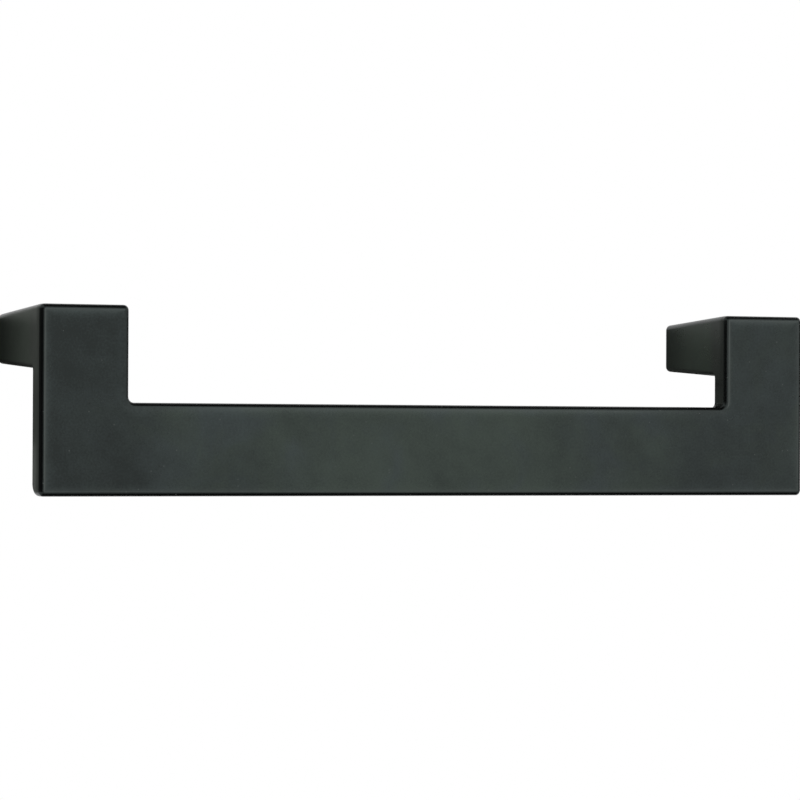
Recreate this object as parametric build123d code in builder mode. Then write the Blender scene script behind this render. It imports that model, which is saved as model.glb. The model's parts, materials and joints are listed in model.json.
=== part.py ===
"""Bar pull: a one-piece die casting for a drawer or a cabinet door.

The front is a flat U-shaped plate, a grip bar with an upright arm at each end. From
the top of each arm a leg runs back to the drawer front, where a screw from inside the
drawer holds it. The casting leaves its mould front face first, so every side narrows
a little from the front face back to the feet.

The origin lies midway between the two screw holes, on the drawer front. +X runs along
the bar, +Y goes back into the drawer and +Z is up.
"""

import os
from math import radians, tan

from build123d import *

# Sizes seen from the front, in millimetres
hole_spacing = 128.0
arm_width = 15.75
bar_height = 15.6
face_height = 31.75

# Sizes seen from the side, the leg's height being that at the front face
projection = 24.6
plate_thickness = 4.7
leg_height = 10.9

# How far the sides lean, in degrees, and how round the edges and corners are
draft_angle = 3.0
edge_radius = 0.9
rim_radius = 0.7
grip_radius = 2.0
notch_radius = 1.0
root_radius = 0.4

# The screw hole in each foot, at the drill size for an M4 thread
hole_diameter = 3.3
hole_depth = 12.0
mouth_diameter = 4.3
mouth_angle = 90.0
drill_point_angle = 118.0

# Sizes and planes that follow from these
overall_length = hole_spacing + arm_width
notch_width = hole_spacing - arm_width
notch_depth = face_height - bar_height
arm_top = leg_height / 2
drill_point_height = hole_diameter / 2 / tan(radians(drill_point_angle / 2))
front_face = Plane.XZ.offset(projection)
drawer_front = Plane.back
hole_bottom = drawer_front.offset(-hole_depth)

with BuildPart() as pull_body:
    # The U-shaped plate, drawn as it is seen from the front
    with BuildSketch(front_face):
        with Locations((0, arm_top)):
            Rectangle(overall_length, face_height, align=(Align.CENTER, Align.MAX))
            Rectangle(notch_width, notch_depth, align=(Align.CENTER, Align.MAX), mode=Mode.SUBTRACT)
    extrude(amount=-plate_thickness)

    # The legs, flush with the top and the sides of the arms
    with BuildSketch(front_face):
        with GridLocations(hole_spacing, 0, 2, 1):
            Rectangle(arm_width, leg_height)
    extrude(amount=-projection)

    # Every side leans inwards on its way back from the front face
    sides = pull_body.faces().filter_by(Axis.Y, reverse=True)
    draft(sides, front_face, -draft_angle)

    # The hollow corners: under each leg where it leaves the plate, and in the notch
    hollow_corners = pull_body.edges().filter_by(Edge.is_interior)
    leg_roots = hollow_corners.filter_by(Axis.X)
    notch_corners = hollow_corners.filter_by(Axis.X, reverse=True)
    fillet(leg_roots, root_radius)
    fillet(notch_corners, notch_radius)

    # The lower back edge of the bar, rounded for the fingers that hook behind it
    bar_underside = pull_body.faces().sort_by(Axis.Z)[0]
    grip_edge = bar_underside.edges().sort_by(Axis.Y)[-1]
    fillet(grip_edge, grip_radius)

    # The edges along the casting, apart from those where a rounded corner runs out into a flat
    corner_rounds = pull_body.faces().filter_by(GeomType.CYLINDER)
    run_outs = corner_rounds.edges().filter_by(GeomType.LINE)
    from_front_to_back = pull_body.faces().sort_by(Axis.Y)
    rims = from_front_to_back[:1].edges() + from_front_to_back[-2:].edges()
    fillet(pull_body.edges() - run_outs - rims, edge_radius)

    # The rims of the front face and of the two feet, which are crisper
    from_front_to_back = pull_body.faces().sort_by(Axis.Y)
    rims = from_front_to_back[:1].edges() + from_front_to_back[-2:].edges()
    fillet(rims, rim_radius)

    # The screw holes, drilled into the feet
    with Locations(drawer_front):
        with GridLocations(hole_spacing, 0, 2, 1):
            CounterSinkHole(hole_diameter / 2, mouth_diameter / 2, hole_depth, mouth_angle)
    with Locations(hole_bottom):
        with GridLocations(hole_spacing, 0, 2, 1):
            Cone(
                bottom_radius=0,
                top_radius=hole_diameter / 2,
                height=drill_point_height,
                align=(Align.CENTER, Align.CENTER, Align.MAX),
                mode=Mode.SUBTRACT,
            )

pull_body.part.label = "pull_body"
os.makedirs("parts", exist_ok=True)
export_step(pull_body.part, "parts/pull_body.step")
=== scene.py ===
# %% [markdown]
# # A satin black bar pull
# This lesson dresses a bar pull, the kind of handle that is screwed to a drawer. The real one is
# a single die casting: a flat U-shaped plate in front, and behind the top of each arm a leg that
# runs back to the drawer. We load the packed CAD model first. It is the measure for everything
# that follows, so we keep its box and never move it.

# %% Load the frame
import json
import math

import bmesh
import bpy
from mathutils import Matrix, Vector


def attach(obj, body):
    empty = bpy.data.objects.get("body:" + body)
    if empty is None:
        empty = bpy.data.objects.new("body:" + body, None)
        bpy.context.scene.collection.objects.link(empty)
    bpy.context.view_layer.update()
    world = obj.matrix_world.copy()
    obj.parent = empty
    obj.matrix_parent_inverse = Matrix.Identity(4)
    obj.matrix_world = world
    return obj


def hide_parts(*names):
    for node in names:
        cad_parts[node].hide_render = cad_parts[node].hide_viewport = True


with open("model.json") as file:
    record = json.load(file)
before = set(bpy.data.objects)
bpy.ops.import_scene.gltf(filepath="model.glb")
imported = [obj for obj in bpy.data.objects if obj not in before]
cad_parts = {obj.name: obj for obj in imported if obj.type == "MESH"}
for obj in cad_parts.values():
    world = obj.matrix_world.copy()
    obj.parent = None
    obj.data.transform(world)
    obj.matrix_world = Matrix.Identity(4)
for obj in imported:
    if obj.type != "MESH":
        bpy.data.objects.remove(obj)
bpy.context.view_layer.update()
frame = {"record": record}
MM = 0.001

# %% [markdown]
# The casting is described by a handful of sizes in millimetres, the same ones as in the CAD
# model. The screw spacing is read from the packed record. Depth is counted from the front face
# back to the drawer, so the front face has depth 0 and the feet have depth 24.6.

# %% Sizes of the casting
record = frame["record"]
screws = next(m for m in record["mounts"] if m["name"] == "screw_holes")
HOLE_SPACING = screws["dims"]["spacing_x_mm"]
ARM_WIDTH = 15.75
BAR_HEIGHT = 15.6
FACE_HEIGHT = 31.75
PROJECTION = 24.6
PLATE_THICKNESS = 4.7
LEG_HEIGHT = 10.9
DRAFT_ANGLE = 3.0
EDGE_RADIUS = 0.9
RIM_RADIUS = 0.7
GRIP_RADIUS = 2.0
NOTCH_RADIUS = 1.0
ROOT_RADIUS = 0.4

HALF_LENGTH = (HOLE_SPACING + ARM_WIDTH) / 2
HALF_NOTCH = (HOLE_SPACING - ARM_WIDTH) / 2
ARM_TOP = LEG_HEIGHT / 2
BAR_BOTTOM = ARM_TOP - FACE_HEIGHT
BAR_TOP = BAR_BOTTOM + BAR_HEIGHT
LEAN = math.tan(math.radians(DRAFT_ANGLE))
print("screw spacing", HOLE_SPACING, "mm, overall length", 2 * HALF_LENGTH, "mm")

# %% [markdown]
# The rounded edges decide how a black object looks, because black shows little more than its
# reflections. A bevel tool makes the rounds, and it needs a cage with sharp corners to start
# from. Three helpers give the corners of that cage: the U of the plate drawn smaller by an
# inset, the same U at a given depth, and the lower corners of the legs. Each side leans inwards
# on its way back, as a casting must to leave its mould. Close behind the front face the sides
# also roll over a little, because the casting is ground before it is painted, and the paint
# itself adds a few hundredths of a millimetre.

# %% Corners of the cage
ROLL_DEPTH = 2.4
ROLL_INSET = 0.16
PAINT = 0.055
ARM_TOPS = (7, 6, 3, 2)


def side_inset(depth):
    """How far the sides stand in from the largest outline at this depth."""
    roll = max(0.0, 1.0 - depth / ROLL_DEPTH)
    return LEAN * depth + ROLL_INSET * roll**2 - PAINT


def u_outline(inset):
    """The eight corners of the U, from the lower left one to the right and round."""
    outer = HALF_LENGTH - inset
    inner = HALF_NOTCH + inset
    top = ARM_TOP - inset
    notch = BAR_TOP - inset
    low = BAR_BOTTOM + inset
    return [
        (-outer, low), (outer, low), (outer, top), (inner, top),
        (inner, notch), (-inner, notch), (-inner, top), (-outer, top),
    ]


def plate_corners(depth):
    """The corners of the U at this depth; those named in ARM_TOPS run on as legs."""
    return [Vector((x, depth - PROJECTION, z)) for x, z in u_outline(side_inset(depth))]


def leg_underside(depth):
    """The four lower corners of the two legs, from left to right."""
    corners = plate_corners(depth)
    z = ARM_TOP - LEG_HEIGHT + LEAN * depth
    return [Vector((corners[i].x, corners[i].y, z)) for i in ARM_TOPS]


print("front outline:", [(round(p.x, 2), round(p.z, 2)) for p in plate_corners(0.0)])

# %% [markdown]
# Now the cage itself. Rings of eight corners step back from the front face through the rolled
# part of the sides. Behind the last ring the bar ends at the back of the plate, and the arms
# go on as legs to the feet. The mesh also gets three layers that later steps fill in: which
# faces are rounds, which corners lie on a rounded edge, and how near they are to the border of
# the front face.

# %% Corners, ring by ring
RIM_DROP = 0.15
RING_DEPTHS = (RIM_DROP, 0.7, 1.3, 1.8, ROLL_DEPTH)

bm = bmesh.new()
is_round = bm.faces.layers.int.new("is_round")
edge_value = bm.verts.layers.float.new("edge")
rim_value = bm.verts.layers.float.new("rim")


def new_corners(points):
    return [bm.verts.new(p) for p in points]


rings = [new_corners(plate_corners(depth)) for depth in RING_DEPTHS]
back_corners = plate_corners(PLATE_THICKNESS)
plate_low = new_corners(back_corners[:2])
plate_notch = new_corners(back_corners[4:6])
roots = new_corners(leg_underside(PLATE_THICKNESS))
foot_low = new_corners(leg_underside(PROJECTION))
foot_corners = plate_corners(PROJECTION)
foot_top = new_corners(foot_corners[i] for i in ARM_TOPS)
print("cage:", len(bm.verts), "corners in", len(rings), "rings and two legs")

# %% [markdown]
# The faces between the rings come from a loop. The rest are drawn one by one, because each side
# of an arm runs on along its leg and so is one L-shaped face. Drawing it as one face keeps it
# truly flat, with no seam where the leg leaves the plate.

# %% Faces of the cage
CM3 = 1000.0
CORNERS = len(rings[0])
bm.faces.new(rings[0])
for near, far in zip(rings, rings[1:]):
    for i in range(CORNERS):
        j = (i + 1) % CORNERS
        bm.faces.new((near[i], far[i], far[j], near[j]))

# The underside and the top of the bar, then the tops of the two legs
last = rings[-1]
bm.faces.new((last[0], plate_low[0], plate_low[1], last[1]))
bm.faces.new((last[4], plate_notch[0], plate_notch[1], last[5]))
bm.faces.new((last[6], foot_top[1], foot_top[0], last[7]))
bm.faces.new((last[2], foot_top[3], foot_top[2], last[3]))

# The L-shaped sides, from left to right
bm.faces.new((last[7], foot_top[0], foot_low[0], roots[0], plate_low[0], last[0]))
bm.faces.new((last[5], plate_notch[1], roots[1], foot_low[1], foot_top[1], last[6]))
bm.faces.new((last[3], foot_top[2], foot_low[2], roots[2], plate_notch[0], last[4]))
bm.faces.new((last[1], plate_low[1], roots[3], foot_low[3], foot_top[3], last[2]))

# The back of the plate, the undersides of the legs and the feet
left_back = (plate_low[0], roots[0], roots[1], plate_notch[1])
right_back = (plate_notch[0], roots[2], roots[3], plate_low[1])
bm.faces.new(left_back + right_back)
for a, b in ((0, 1), (2, 3)):
    bm.faces.new((roots[a], foot_low[a], foot_low[b], roots[b]))
    bm.faces.new((foot_top[a], foot_top[b], foot_low[b], foot_low[a]))
bmesh.ops.recalc_face_normals(bm, faces=bm.faces)
bm.normal_update()
print("cage:", len(bm.faces), "faces, volume", round(bm.calc_volume() / CM3, 2), "cm3")

# %% [markdown]
# The rounds go on in the order a toolmaker would cut them. First come the hollow corners, in the
# notch and under each leg, so that the later rounds simply run along their curves. Then the
# lower back edge of the bar, which the fingers hook behind, gets the largest round of all. The
# other edges follow, and last the rims of the front face and the feet, which are ground and so
# are a little crisper. The faces of the last two are marked as rounds for the paint.

# %% Round the edges
SHARP = math.radians(40)
SAME_PLANE = 0.01
NOTCH_STEPS = 6
ROOT_STEPS = 4
GRIP_STEPS = 10
EDGE_STEPS = 6
Y, Z = 1, 2
FRONT_Y = RIM_DROP - PROJECTION
PLATE_BACK_Y = PLATE_THICKNESS - PROJECTION
FOOT_Y = 0.0


def round_edges(edges, radius, steps):
    """Rounds these edges and gives back the faces of the rounds."""
    made = bmesh.ops.bevel(
        bm, geom=list(edges), offset=radius, offset_type="OFFSET", segments=steps, profile=0.5,
        affect="EDGES", clamp_overlap=False, loop_slide=True, miter_outer="SHARP", miter_inner="SHARP",
    )
    bm.normal_update()
    return made["faces"]


def bend(edge):
    """How sharply an edge bends: above 0 outwards, below 0 into a hollow."""
    return edge.calc_face_angle_signed(0.0)


def lies_at(part, axis, value):
    """Whether an edge or a face lies in the plane where this coordinate has this value."""
    return all(abs(v.co[axis] - value) < SAME_PLANE for v in part.verts)


hollow = [e for e in bm.edges if bend(e) < -SHARP]
round_edges([e for e in hollow if not lies_at(e, Y, PLATE_BACK_Y)], NOTCH_RADIUS, NOTCH_STEPS)
round_edges([e for e in bm.edges if bend(e) < -SHARP], ROOT_RADIUS, ROOT_STEPS)

bar_underside = BAR_BOTTOM + side_inset(PLATE_THICKNESS)
grip_edge = [e for e in bm.edges if lies_at(e, Z, bar_underside) and lies_at(e, Y, PLATE_BACK_Y)]
round_edges(grip_edge, GRIP_RADIUS, GRIP_STEPS)

for on_rim, radius in ((False, EDGE_RADIUS), (True, RIM_RADIUS)):
    sharp = [e for e in bm.edges if bend(e) > SHARP]
    chosen = [e for e in sharp if (lies_at(e, Y, FRONT_Y) or lies_at(e, Y, FOOT_Y)) == on_rim]
    for face in round_edges(chosen, radius, EDGE_STEPS):
        face[is_round] = 1
# Corners that lie on rounds are marked, and the paint gives them a painted shade
for v in bm.verts:
    v[edge_value] = float(all(face[is_round] for face in v.link_faces))
print("rounded casting:", len(bm.faces), "faces, volume", round(bm.calc_volume() / CM3, 2), "cm3")

# %% [markdown]
# The ground front face isn't a perfect plane. A belt presses harder at the border, so we let the
# face fall away by a seventh of a millimetre over its last two, slowly at first and then faster.
# That rim catches the lamps and draws the soft pale line inside every edge. An inset tool would
# tangle at the small corner arcs, so we work out each ring of the rim ourselves: along an
# outward corner the arc shrinks to a point, and along a hollow one it grows.

# %% Where the rim's rings run
RIM_STEPS = (0.1, 0.2, 0.3, 0.4, 0.55, 0.65)
RIM_WIDTH = sum(RIM_STEPS)
HOLLOW_CORNERS = (4, 5)
SAME_POINT = 0.001
FACES_FRONT = -0.999

front = max((f for f in bm.faces if f.normal.y < FACES_FRONT), key=lambda f: f.calc_area())
border = [loop.vert for loop in front.loops]
border_inset = side_inset(RIM_DROP) + RIM_RADIUS
border_corners = [Vector(p) for p in u_outline(border_inset)]

# How far and which way each corner moves for every millimetre of inset
inwards = [Vector(p) - c for p, c in zip(u_outline(border_inset + 1.0), border_corners)]


def rim_place(v, inset):
    """Where a vertex of the border goes when the border is drawn smaller by this inset."""
    here = Vector((v.co.x, v.co.z))
    k = min(range(CORNERS), key=lambda i: (here - border_corners[i]).length)
    if k in HOLLOW_CORNERS:
        centre = border_corners[k] - inwards[k] * (NOTCH_RADIUS + RIM_RADIUS)
        return centre + (here - centre) * (1 + inset / (here - centre).length)
    arc_radius = EDGE_RADIUS - RIM_RADIUS
    if inset > arc_radius:
        return border_corners[k] + inwards[k] * inset
    centre = border_corners[k] + inwards[k] * arc_radius
    return centre + (here - centre) * (1 - inset / arc_radius)


def rim_ring(inset):
    """One ring of vertices, in which those that fall together are one."""
    share = 1.0 - inset / RIM_WIDTH
    ring = []
    for v in border:
        spot = rim_place(v, inset)
        same = [w for w in ring[-1:] + ring[:1] if (w.co.xz - spot).length < SAME_POINT]
        if same:
            ring.append(same[0])
        else:
            ring.append(bm.verts.new((spot.x, RIM_DROP * share**3 - PROJECTION, spot.y)))
            ring[-1][rim_value] = share
    return ring


print("border of the front face:", len(border), "vertices, area", round(front.calc_area()), "mm2")

# %% [markdown]
# Now the front face is taken out and the rings are filled in from the border inwards. Every
# ring carries a value from 1 at the border to 0 inside, which the paint reads later.

# %% Roll the rim of the front face
bmesh.ops.delete(bm, geom=[front], context="FACES_ONLY")
for v in border:
    v[rim_value] = 1.0
ring = border
inset = 0.0
for step in RIM_STEPS:
    inset += step
    next_ring = rim_ring(inset)
    for i in range(len(border)):
        j = (i + 1) % len(border)
        around = list(dict.fromkeys((ring[i], ring[j], next_ring[j], next_ring[i])))
        if len(around) > 2:
            bm.faces.new(around)
    ring = next_ring
flat = bm.faces.new(list(dict.fromkeys(ring)))
bm.normal_update()
print("rim:", round(RIM_WIDTH, 2), "mm wide, flat inside it:", round(flat.calc_area()), "mm2")

# %% [markdown]
# The strips of the rim run the whole length of the bar and fan out at the corners. Shading
# blends a direction along each strip, so an uneven corner would show far away from it. Cutting
# the front straight through a little way from every corner keeps such traces in the corner.

# %% Cut the front near its corners
CUT_MARGIN = 0.4
LEANS_FRONT = -0.1
NEAR_FRONT_Y = 1.0 - PROJECTION
reach = RIM_WIDTH + CUT_MARGIN
cuts_x = [HALF_LENGTH - reach, HALF_NOTCH + reach, HALF_NOTCH - reach]
cuts_z = [ARM_TOP - reach, BAR_TOP + reach, BAR_TOP - reach, BAR_BOTTOM + reach]
cuts = [((side * x, 0, 0), (1, 0, 0)) for side in (-1, 1) for x in cuts_x]
cuts += [((0, 0, z), (0, 0, 1)) for z in cuts_z]
for point, direction in cuts:
    leaning = [f for f in bm.faces if f.normal.y < LEANS_FRONT]
    in_front = [f for f in leaning if f.calc_center_median().y < NEAR_FRONT_Y]
    parts = dict.fromkeys(part for f in in_front for part in (f, *f.edges, *f.verts))
    bmesh.ops.bisect_plane(bm, geom=list(parts), dist=SAME_POINT, plane_co=point, plane_no=direction)
print("casting after", len(cuts), "cuts:", len(bm.faces), "faces")

# %% [markdown]
# Each foot is drilled and tapped for an M4 screw. A tapped hole could be faked with a dark disc,
# but from behind one sees into it, so we make the thread. Think of the wall as a sheet wrapped
# round a cylinder: its radius is a groove that goes one pitch deeper with every turn, with the
# 60 degree flanks of a metric thread. The countersink limits it at the mouth, and near the bottom
# it runs out to the plain drilled wall.

# %% The wall of a tapped hole
HOLE_RADIUS = screws["dims"]["hole_r_mm"]
THREAD_RADIUS = 2.0
THREAD_PITCH = 0.7
THREAD_ANGLE = 60.0
THREAD_END = 10.5
MOUTH_RADIUS = 2.15
HOLE_DEPTH = 12.0
DRILL_POINT_ANGLE = 118.0
POINT_DEPTH = HOLE_DEPTH + HOLE_RADIUS / math.tan(math.radians(DRILL_POINT_ANGLE / 2))
GROOVE_DEPTH = THREAD_RADIUS - HOLE_RADIUS
FLANK = GROOVE_DEPTH * math.tan(math.radians(THREAD_ANGLE / 2)) / THREAD_PITCH
HALF_ROOT = 1 / 16


def clamp(value):
    return min(1.0, max(0.0, value))


def wall_radius(depth, turn):
    """Radius of the tapped wall at a depth in the hole, turn running from 0 to 1 round it."""
    climb = (depth / THREAD_PITCH - turn) % 1.0
    groove = clamp((HALF_ROOT + FLANK - abs(climb - 0.5)) / FLANK)
    run_out = clamp((THREAD_END - depth) / THREAD_PITCH)
    return max(HOLE_RADIUS + GROOVE_DEPTH * groove * run_out, MOUTH_RADIUS - depth)


print("thread flank", round(FLANK * THREAD_PITCH, 2), "mm, drill point at", round(POINT_DEPTH, 2), "mm")

# %% [markdown]
# Rings of that wall go down the hole, a cone closes it at the bottom, and the foot's face is
# filled in again between its rim and the mouth.

# %% Tap the screw holes
TURN_STEPS = 36
PITCH_STEPS = 10
FACES_BACK = 0.999


def hole_ring(x, depth):
    ring = []
    for k in range(TURN_STEPS):
        angle = 2 * math.pi * k / TURN_STEPS
        radius = wall_radius(depth, k / TURN_STEPS)
        ring.append(bm.verts.new((x + radius * math.cos(angle), -depth, radius * math.sin(angle))))
    return ring


def tap_hole(x):
    """Opens the foot whose hole is at this x, and gives back how many pitches deep it is."""
    feet = [f for f in bm.faces if f.normal.y > FACES_BACK and lies_at(f, Y, FOOT_Y)]
    foot = min(feet, key=lambda f: abs(f.calc_center_median().x - x))
    foot_rim = list(foot.edges)
    bmesh.ops.delete(bm, geom=[foot], context="FACES_ONLY")
    steps = round(HOLE_DEPTH / THREAD_PITCH * PITCH_STEPS)
    hole = [hole_ring(x, HOLE_DEPTH * i / steps) for i in range(steps + 1)]
    point = bm.verts.new((x, -POINT_DEPTH, 0))
    mouth = []
    for k in range(TURN_STEPS):
        j = (k + 1) % TURN_STEPS
        for near, far in zip(hole, hole[1:]):
            bm.faces.new((near[k], near[j], far[j], far[k]))
        bm.faces.new((hole[-1][k], hole[-1][j], point))
        mouth.append(bm.edges.get((hole[0][k], hole[0][j])))
    borders = foot_rim + mouth
    bmesh.ops.triangle_fill(bm, edges=borders, use_beauty=True, use_dissolve=False, normal=(0, 1, 0))
    return steps / PITCH_STEPS


for hole_x in (-HOLE_SPACING / 2, HOLE_SPACING / 2):
    print("hole at x =", hole_x, "mm,", round(tap_hole(hole_x), 1), "pitches deep")

# %% [markdown]
# The mesh becomes an object. Shading is smooth everywhere, with sharp creases kept only where
# two faces meet at a real edge, as in the thread. A weighted-normal modifier gives each corner
# the direction of its largest face, so the flats stay flat and the rounds do all the turning.
# Two lines tie it to the frame: it rides on the one body and stands for the CAD node.

# %% Make the casting
CREASE = math.radians(35)
LARGEST_FACE_ONLY = 100

bmesh.ops.recalc_face_normals(bm, faces=bm.faces)
bmesh.ops.scale(bm, vec=(MM, MM, MM), verts=bm.verts)
for face in bm.faces:
    face.smooth = True
for edge in bm.edges:
    edge.smooth = edge.calc_face_angle(0.0) < CREASE
open_edges = sum(len(edge.link_faces) != 2 for edge in bm.edges)
casting_mesh = bpy.data.meshes.new("pull_casting")
bm.to_mesh(casting_mesh)
bm.free()

casting = bpy.data.objects.new("pull_casting", casting_mesh)
bpy.context.scene.collection.objects.link(casting)
flats = casting.modifiers.new("flats_stay_flat", "WEIGHTED_NORMAL")
flats.weight = LARGEST_FACE_ONLY
flats.keep_sharp = True
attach(casting, "root")
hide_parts("pull_body")
triangles = sum(len(p.vertices) - 2 for p in casting_mesh.polygons)
print("casting:", triangles, "triangles,", open_edges, "open edges")

# %% [markdown]
# The finish is built from shader nodes. Written as Python, a node tree is hard to read, so one
# small class wraps an output socket: arithmetic on it adds Math nodes, and its one method adds
# any other node, with its settings first and then its sockets.

# %% A short way to write shader nodes


class Strand:
    """One output socket of a node tree, which can be added, multiplied and so on."""

    def __init__(self, tree, socket):
        self.tree = tree
        self.socket = socket

    @classmethod
    def node(cls, tree, kind, settings=None, sockets=None, output=0):
        """Adds a node of this kind and gives back one of its outputs, if it has any."""
        made = tree.nodes.new(kind)
        for name, value in (settings or {}).items():
            setattr(made, name, value)
        for name, value in (sockets or {}).items():
            if isinstance(value, Strand):
                tree.links.new(value.socket, made.inputs[name])
            else:
                made.inputs[name].default_value = value
        return cls(tree, made.outputs[output]) if made.outputs else None

    def math(self, operation, first, second=0.0):
        return Strand.node(self.tree, "ShaderNodeMath", {"operation": operation}, {0: first, 1: second})

    def __add__(self, other):
        return self.math("ADD", self, other)

    def __radd__(self, other):
        return self.math("ADD", other, self)

    def __sub__(self, other):
        return self.math("SUBTRACT", self, other)

    def __rsub__(self, other):
        return self.math("SUBTRACT", other, self)

    def __mul__(self, other):
        return self.math("MULTIPLY", self, other)

    def __rmul__(self, other):
        return self.math("MULTIPLY", other, self)

    def __neg__(self):
        return self.math("MULTIPLY", self, -1.0)

    def __abs__(self):
        return self.math("ABSOLUTE", self)

    def between(self, low, high):
        """0 up to low, 1 from high on, and a smooth step from one to the other."""
        return Strand.node(
            self.tree, "ShaderNodeMapRange", {"interpolation_type": "SMOOTHSTEP"},
            {"Value": self, "From Min": low, "From Max": high},
        )


def new_tree(owner):
    """The empty node tree of a new material or world."""
    owner.use_nodes = True
    owner.node_tree.nodes.clear()
    return owner.node_tree


print("a strand knows:", ", ".join(name.strip("_") for name in vars(Strand) if name.startswith("__r")))

# %% [markdown]
# Satin black paint is nearly black itself, and what one sees is mostly light mirrored by the top
# of the coat, softly and faintly green. To paint it we first need to know where on the casting
# we are. The object's own coordinates give the place in millimetres, the mesh gives the layers
# that were filled in above, and the surface's direction tells the sides from the faces. All of
# these belong to the object, so the paint stays on the metal in every view. A surface counts as
# turned to a side from a slight lean on, and as turned back only when it nearly faces the drawer.

# %% Where things are on the casting
TURNED = (0.02, 0.14)
TURNED_WELL = (0.5, 0.9)

paint = bpy.data.materials.new("satin_black")
tree = new_tree(paint)


def coordinate(vector, axis):
    return Strand.node(tree, "ShaderNodeSeparateXYZ", None, {0: vector}, axis)


def mesh_layer(name):
    return Strand.node(tree, "ShaderNodeAttribute", {"attribute_name": name}, None, "Fac")


place_m = Strand.node(tree, "ShaderNodeTexCoord", output="Object")
place = Strand.node(tree, "ShaderNodeVectorMath", {"operation": "SCALE"}, {0: place_m, "Scale": 1 / MM})
facing = Strand.node(tree, "ShaderNodeNewGeometry", output="Normal")
x_mm = coordinate(place, "X")
from_front = coordinate(place, "Y") + PROJECTION
z_mm = coordinate(place, "Z")
# The rim layer guides the painted highlight along the border
rim = mesh_layer("rim")
# Where the rounds get a painted shade
round_shade = mesh_layer("edge")
turned_right = coordinate(facing, "X").between(*TURNED)
turned_left = (-coordinate(facing, "X")).between(*TURNED)
turned_up = coordinate(facing, "Z").between(*TURNED)
turned_back = coordinate(facing, "Y").between(*TURNED_WELL)
print("places:", len(tree.nodes), "nodes")

# %% [markdown]
# From these we make masks, each a value from 0 to 1. The arms are darker than the bar, a painted
# shade, and the middle of the bar is the palest, a painted highlight. The sides are kept apart
# from the front and the back, because they get a painted shade, and the part of them that belongs
# to the legs fades towards the feet, so that this painted shade grows darker there. The last two
# masks find the borders that get no painted highlight along the rim: the inner one of the left
# arm, and the top of the bar close to the arms, which gets a painted shade as well. A pair of
# numbers tells where a change begins and where it is complete, in millimetres.

# %% Masks for the paint
LEFT_ARM_STARTS = (43.0, 58.0)
RIGHT_ARM_STARTS = (40.0, 52.0)
RIGHT_ARM_SHARE = 0.62
GRIP_MIDDLE = -5.0
GRIP_FADES = (5.0, 42.0)
SIDE_STARTS = (0.4, 0.9)
LEG_STARTS = (4.0, 7.0)
LEG_FADES = (9.0, 22.0)
LEG_FADE = 0.6
LEFT_HALF_STARTS = (0.0, 20.0)
CORNER_SHADE_STARTS = (30.0, 52.0)
ABOVE_BAR = (-9.5, -7.5)

left_arm = (-x_mm).between(*LEFT_ARM_STARTS)
right_arm = x_mm.between(*RIGHT_ARM_STARTS)
# Painted shade: the arms come out darker than the bar
arms = left_arm + RIGHT_ARM_SHARE * right_arm
# Painted highlight: the middle of the bar comes out palest
bar_middle = 1 - abs(x_mm - GRIP_MIDDLE).between(*GRIP_FADES)
# Painted shade on the sides, darker on the legs towards the feet
side = from_front.between(*SIDE_STARTS) * (1 - turned_back)
leg_green_and_shade = from_front.between(*LEG_STARTS) * (1 - LEG_FADE * from_front.between(*LEG_FADES))
# Where the painted rim highlight is left out; the second mask also adds a painted shade near the arms
inner_border = turned_right * (-x_mm).between(*LEFT_HALF_STARTS)
corner_shade = turned_up * abs(x_mm).between(*CORNER_SHADE_STARTS) * (1 - z_mm.between(*ABOVE_BAR))
print("places and masks:", len(tree.nodes), "nodes")

# %% [markdown]
# Sprayed paint is never even. Noise at several sizes makes that, counted in features a
# millimetre: broad clouds where the coat is thicker, a mottle a few millimetres wide, a grain as
# fine as the paint's own, slow changes of hue, and a swell that later raises the skin. The clouds
# are slid to a place where they lie on the bar as they do on the real one. Dust that fell into
# the wet coat comes from a Voronoi pattern: a few of its cells are picked by their random colour,
# and in those only the middle is pale.

# %% Unevenness of the coat
CLOUD_SHIFT = (42.2, 87.3, -15.6)
NO_SHIFT = (0.0, 0.0, 0.0)
NOISE_MEAN = 0.5
SPECK_CORE = 0.4
PICK_SOFTLY = 0.02


def noise(scale, detail, roughness, distortion=0.0, shift=NO_SHIFT):
    """Noise with this many features a millimetre, from about -0.5 to 0.5."""
    moved = Strand.node(tree, "ShaderNodeVectorMath", {"operation": "ADD"}, {0: place, 1: shift})
    sockets = {
        "Vector": moved, "Scale": scale, "Detail": detail,
        "Roughness": roughness, "Distortion": distortion,
    }
    return Strand.node(tree, "ShaderNodeTexNoise", None, sockets) - NOISE_MEAN


def specks(cells_per_mm, share_of_cells, size):
    """1 in the middle of a few cells of a Voronoi pattern, and 0 elsewhere."""
    sockets = {"Vector": place, "Scale": cells_per_mm}
    distance = Strand.node(tree, "ShaderNodeTexVoronoi", None, sockets, "Distance")
    colour = Strand.node(tree, "ShaderNodeTexVoronoi", None, sockets, "Color")
    chance = Strand.node(tree, "ShaderNodeSeparateColor", None, {0: colour}, "Red")
    picked = chance.between(1 - share_of_cells, 1 - share_of_cells + PICK_SOFTLY)
    return picked * (1 - distance.between(SPECK_CORE * size, size))


clouds = noise(scale=0.06, detail=3.0, roughness=0.5, distortion=0.5, shift=CLOUD_SHIFT)
mottle = noise(scale=0.32, detail=4.0, roughness=0.6)
grain = noise(scale=2.6, detail=3.0, roughness=0.7)
hue = noise(scale=0.085, detail=3.0, roughness=0.55, distortion=0.6)
swell = noise(scale=0.9, detail=3.0, roughness=0.5)
dust = specks(cells_per_mm=0.9, share_of_cells=0.12, size=0.14)
print("with unevenness:", len(tree.nodes), "nodes")

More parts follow.
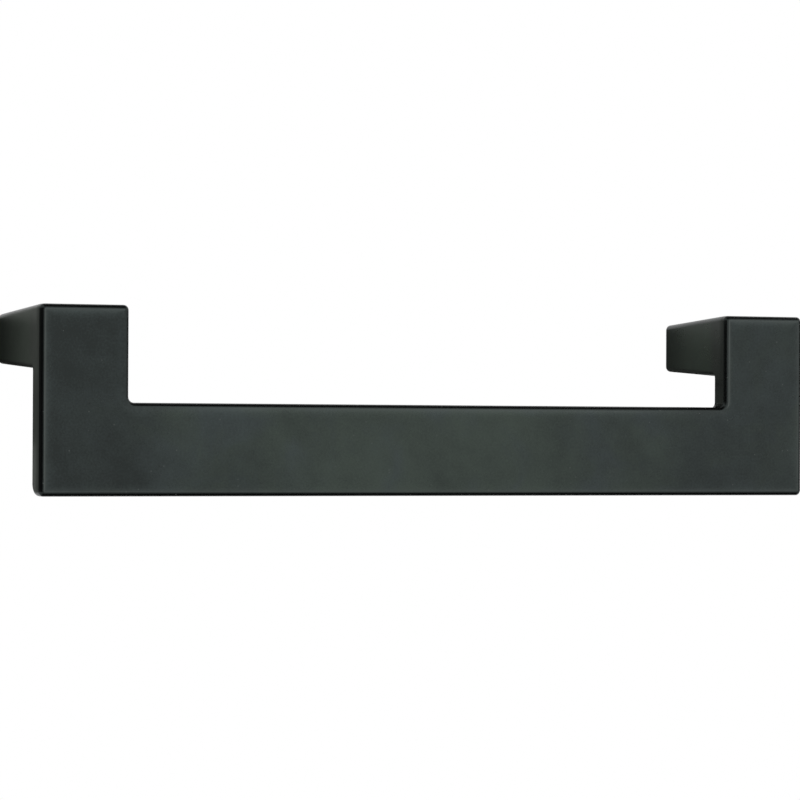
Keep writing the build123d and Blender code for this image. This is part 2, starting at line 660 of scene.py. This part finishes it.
# %% [markdown]
# The first coat is as black as coal, and over it lies a thin film. The film is full in the
# clouds. The same sum also paints light and shade: a painted highlight in the middle of the bar, a
# painted shade on the arms, a painted highlight along the rim, weaker on borders that face left,
# and a painted shade on the top of the bar close to the arms. It is one sum, with a weight for
# each mask and each noise.

# %% How full the film is, with painted light and shade
FILM = 0.66
FILM_CLOUDS = 1.2
FILM_MOTTLE = 0.5
# The next four weights paint light and shade: a highlight mid-bar, a shade on the arms, a highlight on
# the rim, a shade near the arms
MIDDLE_PAINTED_HIGHLIGHT = 0.13
ARMS_PAINTED_SHADE = 0.57
RIM_PAINTED_HIGHLIGHT = 0.2
CORNER_PAINTED_SHADE = 0.5

rim2 = rim * rim
film_and_painted_light = FILM + FILM_CLOUDS * clouds + FILM_MOTTLE * mottle + grain
# A painted highlight in the middle of the bar and a painted shade on the arms
film_and_painted_light = film_and_painted_light + MIDDLE_PAINTED_HIGHLIGHT * bar_middle - ARMS_PAINTED_SHADE * arms
# A painted highlight along the rim, weaker on borders that face left, and a painted shade near the arms
film_and_painted_light = film_and_painted_light + RIM_PAINTED_HIGHLIGHT * rim2 * (1 - inner_border) * (1 + left_arm)
film_and_painted_light = film_and_painted_light - rim2 * (CORNER_PAINTED_SHADE * corner_shade + RIM_PAINTED_HIGHLIGHT * turned_left)
print("with the film:", len(tree.nodes), "nodes")

# %% [markdown]
# Now the colour. The film is mossy green in some patches and slate blue in others. The sides get
# a painted shade, near black with a breath of green along the legs that darkens towards the feet,
# and the rounded edges get a painted shade of plain black. At the very border a pale line is a
# painted highlight, paler still on borders that face left. One could paint all this as an image,
# but a formula stays sharp at any distance and takes no file.

# %% The colour of the coat
COAL = (0.0022, 0.0022, 0.0023, 1)
MOSS = (0.0295, 0.0390, 0.0305, 1)
SLATE = (0.0275, 0.0352, 0.0360, 1)
FERN = (0.0040, 0.0090, 0.0046, 1)
# Pale colours of the painted rim highlight; the second also colours the specks of dust
PALE_RIM_HIGHLIGHT = (0.040, 0.044, 0.042, 1)
SPECK_AND_HIGHLIGHT = (0.065, 0.070, 0.066, 1)
HUE_GRIP = 0.10
HUE_ARMS = 0.15
SLATE_TO_MOSS = (-0.15, 0.15)
RIM_HIGHLIGHT_SHARE = 0.8
RIM_HIGHLIGHT_MOTTLE = 1.2
LEFT_RIM_HIGHLIGHT_SHARE = 0.7
DUSTY = 0.7
COLOUR_A, COLOUR_B, COLOUR_RESULT = 6, 7, 2


def blend_colour(share, first, second):
    """The first colour where share is 0, the second where it is 1; a Mix node numbers its sockets."""
    sockets = {"Factor": share, COLOUR_A: first, COLOUR_B: second}
    return Strand.node(tree, "ShaderNodeMix", {"data_type": "RGBA"}, sockets, COLOUR_RESULT)


mossy = (hue + HUE_GRIP * bar_middle - HUE_ARMS * arms).between(*SLATE_TO_MOSS)
film_colour = blend_colour(mossy, SLATE, MOSS)
face_colour = blend_colour(film_and_painted_light, COAL, film_colour)
# Painted shade on the sides, with a green that darkens towards the feet
shaded_side_colour = blend_colour(leg_green_and_shade, COAL, FERN)
coat_colour = blend_colour(side, face_colour, shaded_side_colour)
# Painted shade: the rounded edges are painted black
coat_colour = blend_colour(round_shade, coat_colour, COAL)

# The painted highlight at the very border, paler on borders that face left, then the specks of dust
rim8 = rim2 * rim2 * rim2 * rim2
rim_highlight = rim8 * (1 + RIM_HIGHLIGHT_MOTTLE * mottle) * (1 - inner_border) * (1 - corner_shade)
left_rim_highlight = rim8 * rim8 * turned_left * (1 + right_arm) * (1 - corner_shade)
coat_colour = blend_colour(RIM_HIGHLIGHT_SHARE * rim_highlight, coat_colour, PALE_RIM_HIGHLIGHT)
coat_colour = blend_colour(LEFT_RIM_HIGHLIGHT_SHARE * left_rim_highlight, coat_colour, SPECK_AND_HIGHLIGHT)
coat_colour = blend_colour(DUSTY * dust, coat_colour, SPECK_AND_HIGHLIGHT)
print("with colour:", len(tree.nodes), "nodes")

# %% [markdown]
# Then the gloss. Satin lies between matt and mirror, and where the coat is thick it has drawn
# smoother, so it mirrors a little more sharply. A bump of two layers stands for the skin of the
# coat: a slow swell, like the skin of an orange, and the fine grain on top. The rest is the same
# all over, so it is set on the shader's own sockets.

# %% The gloss of the coat
SHEEN = 0.27
MIRROR_TINT = (0.84, 1.0, 0.965, 1)
PAINT_IOR = 1.4
SHEEN_MOTTLE = 0.10
SHEEN_CLOUDS = 0.10
SHEEN_ARMS = 0.03
SWELL_HEIGHT = 0.004
GRAIN_HEIGHT = 0.0012
SKIN_STRENGTH = 0.5

roughness = SHEEN + SHEEN_MOTTLE * mottle - SHEEN_CLOUDS * clouds + SHEEN_ARMS * arms
skin_height = SWELL_HEIGHT * swell + GRAIN_HEIGHT * grain
bump_sockets = {"Strength": SKIN_STRENGTH, "Distance": MM, "Height": skin_height}
skin = Strand.node(tree, "ShaderNodeBump", None, bump_sockets, "Normal")
coat = Strand.node(
    tree, "ShaderNodeBsdfPrincipled", None,
    {
        "Base Color": coat_colour, "Roughness": roughness, "Normal": skin,
        "IOR": PAINT_IOR, "Specular Tint": MIRROR_TINT,
    },
)
Strand.node(tree, "ShaderNodeOutputMaterial", None, {"Surface": coat})
casting_mesh.materials.append(paint)
print("satin black:", len(tree.nodes), "nodes")

# %% [markdown]
# The camera looks at the pull from the left, level with it, through a long lens. Its place and
# directions were worked out from the straight edges in the picture, so they are given as
# numbers: where it is, where its right and its down point, and how many pixels an object takes
# up that is as wide as it is far away.

# %% Camera
IMAGE_PX = 800
FOCAL_PX = 4239.7
SENSOR_MM = 36.0
CAMERA_PLACE = Vector((-310.426, -677.823, -15.888)) * MM
CAMERA_RIGHT = Vector((0.90691854, -0.42127965, 0.00471536))
CAMERA_DOWN = Vector((0.00775948, 0.00551196, -0.9999547))
SEES_AS_FAR_AS = 20.0

lens = bpy.data.cameras.new("camera")
lens.sensor_width = SENSOR_MM
lens.lens = FOCAL_PX * SENSOR_MM / IMAGE_PX
lens.clip_end = SEES_AS_FAR_AS
camera = bpy.data.objects.new("camera", lens)
bpy.context.scene.collection.objects.link(camera)
axes = Matrix((CAMERA_RIGHT, -CAMERA_DOWN, -CAMERA_RIGHT.cross(CAMERA_DOWN))).transposed()
camera.matrix_world = Matrix.Translation(CAMERA_PLACE) @ axes.to_4x4()
bpy.context.scene.camera = camera
print("lens", round(lens.lens, 1), "mm,", round(CAMERA_PLACE.length, 2), "m from the pull")

# %% [markdown]
# The studio is white all round. To the camera and in mirrored light it is pure white, and the
# light it gives is a little less, so that no pale surface burns out. Two background shaders and
# the kind of light path tell the two apart.

# %% White surroundings
WHITE = (1, 1, 1, 1)
SOFT_LIGHT = 0.85

studio = bpy.data.worlds.new("studio")
bpy.context.scene.world = studio
tree = new_tree(studio)


def seen_directly():
    """1 for light that the camera sees straight, in a mirror or through glass."""
    kinds = ("Is Camera Ray", "Is Glossy Ray", "Is Transmission Ray")
    straight, mirrored, through = (Strand.node(tree, "ShaderNodeLightPath", output=k) for k in kinds)
    return (straight + mirrored + through).between(0.0, 1.0)


seen = Strand.node(tree, "ShaderNodeBackground", None, {"Color": WHITE, "Strength": 1.0})
given = Strand.node(tree, "ShaderNodeBackground", None, {"Color": WHITE, "Strength": SOFT_LIGHT})
sky = Strand.node(tree, "ShaderNodeMixShader", None, {0: seen_directly(), 1: given, 2: seen})
Strand.node(tree, "ShaderNodeOutputWorld", None, {"Surface": sky})
print("studio:", len(tree.nodes), "nodes")

# %% [markdown]
# The pull is photographed as if held up in the air, so the pale floor lies well below it. Under
# the pull it is plain matt paint and takes the soft shadow. Further out it fades into the white
# of the studio, so that no horizon shows.

# %% Floor
FLOOR_Z = -0.14
FLOOR_HALF = 0.6
FLOOR_PALE = (0.9, 0.9, 0.9, 1)
FADE_FROM = 0.10
FADE_TO = 0.24
SQUARE = ((-1, -1), (1, -1), (1, 1), (-1, 1))
WITHOUT_HEIGHT = (1, 1, 0)

floor_mesh = bpy.data.meshes.new("floor")
floor_corners = [(x * FLOOR_HALF, y * FLOOR_HALF, FLOOR_Z) for x, y in SQUARE]
floor_mesh.from_pydata(floor_corners, [], [(0, 1, 2, 3)])
floor = bpy.data.objects.new("floor", floor_mesh)
bpy.context.scene.collection.objects.link(floor)
floor_paint = bpy.data.materials.new("pale_floor")
tree = new_tree(floor_paint)
here = Strand.node(tree, "ShaderNodeTexCoord", output="Object")
flattening = {0: here, 1: WITHOUT_HEIGHT}
along_floor = Strand.node(tree, "ShaderNodeVectorMath", {"operation": "MULTIPLY"}, flattening)
distance = Strand.node(tree, "ShaderNodeVectorMath", {"operation": "LENGTH"}, {0: along_floor}, "Value")
matt = Strand.node(tree, "ShaderNodeBsdfDiffuse", None, {"Color": FLOOR_PALE})
white = Strand.node(tree, "ShaderNodeEmission", None, {"Color": WHITE, "Strength": 1.0})
fade = distance.between(FADE_FROM, FADE_TO) * seen_directly()
floor_finish = Strand.node(tree, "ShaderNodeMixShader", None, {0: fade, 1: matt, 2: white})
Strand.node(tree, "ShaderNodeOutputMaterial", None, {"Surface": floor_finish})
floor_mesh.materials.append(floor_paint)
print("floor", -FLOOR_Z, "m below the screw holes")

# %% [markdown]
# In a white room a black object would lose its edges. A photographer puts dark cards round it,
# out of the picture: a rounded edge mirrors a card and so draws itself as a thin dark line. Our
# cards are seen only by mirrored light. They cast no shadow and take no light from the pull.
# Their grey leans a little to green, as the pull's sides do in the picture.

# %% A card
BLACK = 0.0
DARK = 0.06
GREY = 0.40
CARD_TINT = (0.96, 1.03, 0.93)
print("mid grey card:", [round(GREY * share, 3) for share in CARD_TINT])


def card(name, corners, grey):
    """A card that only mirrored light sees, this bright where 1 is white."""
    mesh = bpy.data.meshes.new(name)
    mesh.from_pydata(corners, [], [(0, 1, 2, 3)])
    sheet = bpy.data.objects.new(name, mesh)
    bpy.context.scene.collection.objects.link(sheet)
    sheet.visible_camera = False
    sheet.visible_diffuse = False
    sheet.visible_shadow = False
    board = bpy.data.materials.new(name)
    board_tree = new_tree(board)
    colour = [grey * share for share in CARD_TINT]
    glow = Strand.node(board_tree, "ShaderNodeEmission", None, {"Color": (*colour, 1), "Strength": 1.0})
    Strand.node(board_tree, "ShaderNodeOutputMaterial", None, {"Surface": glow})
    mesh.materials.append(board)
    print(name, "at", round(grey, 2), "of white")


def upright(start, end, low, high):
    """Corners of an upright card between two places on the floor."""
    return [(*start, low), (*end, low), (*end, high), (*start, high)]


def level(left, right, near, far, z):
    """Corners of a card that lies flat at a height."""
    return [(left, near, z), (right, near, z), (right, far, z), (left, far, z)]


# %% [markdown]
# The far cards stand a tenth to half a metre away. On the left a black one, a dark one and a grey
# one follow each other round to the back: the left-hand rounds mirror the black, and the sides of
# the arms mirror the grey. One card on the right, one above and one below do the same for the
# other rounds. An upright card is given by its two ends and by how low and how high it reaches, a
# level one by its left, right, near and far borders and its height.

# %% Far cards, in metres
LEFT_NEAR = (-0.14, -0.45)
LEFT_SIDE = (-0.42, -0.10)
LEFT_BEHIND = (-0.25, 0.37)
LEFT_FAR = (-0.12, 0.45)
RIGHT_NEAR = (0.40, -0.20)
RIGHT_FAR = (0.42, 0.25)
UPRIGHT_CARDS = {
    "card_left": (LEFT_NEAR, LEFT_SIDE, -0.18, 0.18, BLACK),
    "card_beside": (LEFT_SIDE, LEFT_BEHIND, -0.10, 0.10, DARK),
    "card_back_left": (LEFT_BEHIND, LEFT_FAR, -0.13, 0.24, GREY),
    "card_right": (RIGHT_NEAR, RIGHT_FAR, -0.07, 0.07, BLACK),
}
LEVEL_CARDS = {
    "card_above": (-0.12, 0.40, -0.52, 0.05, 0.35, BLACK),
    "card_below": (-0.11, 0.18, -0.14, 0.02, -0.12, BLACK),
}
for name, (start, end, low, high, grey) in UPRIGHT_CARDS.items():
    card(name, upright(start, end, low, high), grey)
for name, (left, right, near, far, z, grey) in LEVEL_CARDS.items():
    card(name, level(left, right, near, far, z), grey)

# %% [markdown]
# The sides of the legs darken towards the feet, as the drawer front would make them. Small cards
# where that drawer would be do this: they stand just behind the feet, darker where the foot
# mirrors them and lighter where the plate does. Each row gives a card's left, right, low and
# high borders in millimetres, and its grey. One more lies flat over the notch's right corner,
# because the small round there would mirror the lighter cards as a glint.

# %% Near cards, behind the feet
NEAR_CARD_Y = 8.0
NEAR_CARDS = {
    "card_left_plate": (-92.0, -80.0, -30.0, -7.0, 0.25),
    "card_left_leg": (-80.0, -76.0, -18.0, 4.0, 0.24),
    "card_left_foot": (-76.0, -69.0, -18.0, 4.0, 0.03),
    "card_left_under": (-69.0, -56.0, -18.0, -6.0, 0.05),
    "card_right_arm": (36.0, 50.5, -18.0, -4.0, 0.19),
    "card_right_plate": (34.0, 43.0, -4.0, 1.0, 0.17),
    "card_right_plate_top": (34.0, 43.0, 1.0, 6.0, 0.28),
    "card_right_leg": (43.0, 50.5, -4.0, 1.0, 0.30),
    "card_right_leg_top": (43.0, 50.5, 1.0, 4.6, 0.42),
    "card_right_foot": (50.5, 58.0, -18.0, 4.2, 0.12),
    "card_right_under": (58.0, 72.0, -18.0, -6.0, 0.05),
}
NOTCH_CARD = (52.0, 56.5, -21.5, -10.0, -6.4)
for name, (left, right, low, high, grey) in NEAR_CARDS.items():
    start = (left * MM, NEAR_CARD_Y * MM)
    end = (right * MM, NEAR_CARD_Y * MM)
    card(name, upright(start, end, low * MM, high * MM), grey)
card("card_notch", level(*(v * MM for v in NOTCH_CARD)), DARK)

# %% [markdown]
# Three soft boxes light the front, at about the white of the studio. Two stand where the front
# face would mirror them if it were tilted a little up or down, so the rims along the top and the
# bottom catch them and turn pale, while the flat in between stays dark. The third does the same
# for the rims on the left. Each row gives a lamp's two angles as seen from the pull, its width
# and height in metres and how bright it looks.

# %% Lamps
LAMP_DISTANCE = 0.9
MIDDLE = (0.0, -0.024, -0.010)
LAMPS = {
    "lamp_above": (25, 19, 0.8, 0.28, 0.9),
    "lamp_below": (25, -24, 0.8, 0.24, 0.9),
    "lamp_left": (-2, 0, 0.12, 0.5, 1.1),
}


def lamp(name, place, target, width, height, radiance):
    """A soft box of this width and height that looks this bright, where 1 is white."""
    light = bpy.data.lights.new(name, "AREA")
    light.shape = "RECTANGLE"
    light.size = width
    light.size_y = height
    light.energy = radiance * math.pi * width * height
    box = bpy.data.objects.new(name, light)
    bpy.context.scene.collection.objects.link(box)
    box.location = place
    box.rotation_euler = (Vector(target) - Vector(place)).to_track_quat("-Z", "Y").to_euler()
    box.visible_camera = False
    print(name, round(light.energy, 2), "W")


def from_pull(azimuth, elevation):
    """A lamp's place, at this angle to the right of straight ahead and this angle up."""
    a = math.radians(azimuth)
    e = math.radians(elevation)
    return Vector((math.sin(a) * math.cos(e), -math.cos(a) * math.cos(e), math.sin(e))) * LAMP_DISTANCE


for name, (azimuth, elevation, width, height, radiance) in LAMPS.items():
    lamp(name, from_pull(azimuth, elevation), MIDDLE, width, height, radiance)

# %% [markdown]
# A view transform can bend colours to look like film. We want the paint as it is written, so the
# plain one is used.

# %% Colours as they are
bpy.context.scene.view_settings.view_transform = "Standard"
print("view transform:", bpy.context.scene.view_settings.view_transform)

# %% [markdown] Here the script ends.
